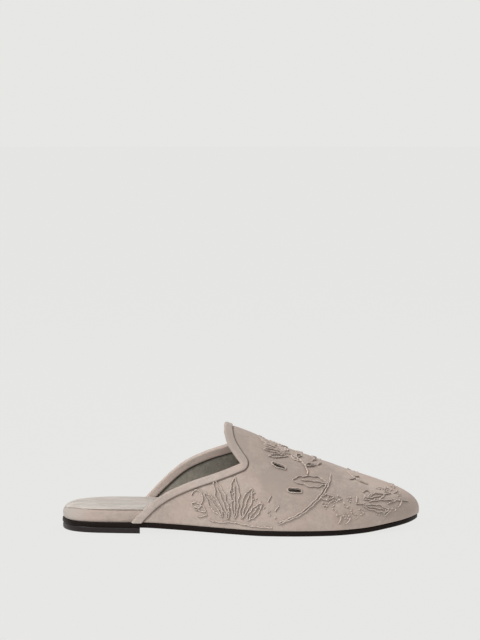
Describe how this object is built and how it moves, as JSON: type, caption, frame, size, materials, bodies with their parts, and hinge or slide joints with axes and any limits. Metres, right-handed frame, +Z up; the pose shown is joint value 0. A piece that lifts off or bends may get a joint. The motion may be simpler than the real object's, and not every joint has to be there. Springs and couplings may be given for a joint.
{
  "type": "mule",
  "caption": "Flat backless mule for a right foot: hollow suede vamp with a bound topline, padded wrapped footbed, thin dark leather outsole and a low heel lift.",
  "frame": {"origin": "on the floor under the middle of the shoe's bounding box", "axes": "+X from heel to toe, +Y towards the inner (medial) side of the foot, +Z up"},
  "size_m": [0.2594, 0.088, 0.0773],
  "materials": {
    "taupe_suede": "napped suede, matte",
    "sock_suede": "fine pale suede, matte",
    "binding_suede": "folded suede strip, matte",
    "dark_leather": "stained dark brown leather edge, satin",
    "grey_lining": "smooth grey lining leather inside the vamp, satin",
    "taupe_thread": "twisted embroidery thread, soft sheen"
  },
  "bodies": {
    "root": {"outsole": "dark_leather", "heel_lift": "dark_leather", "footbed": "taupe_suede", "sock": "sock_suede", "upper": "taupe_suede", "topline_binding": "binding_suede"}
  },
  "joints": []
}
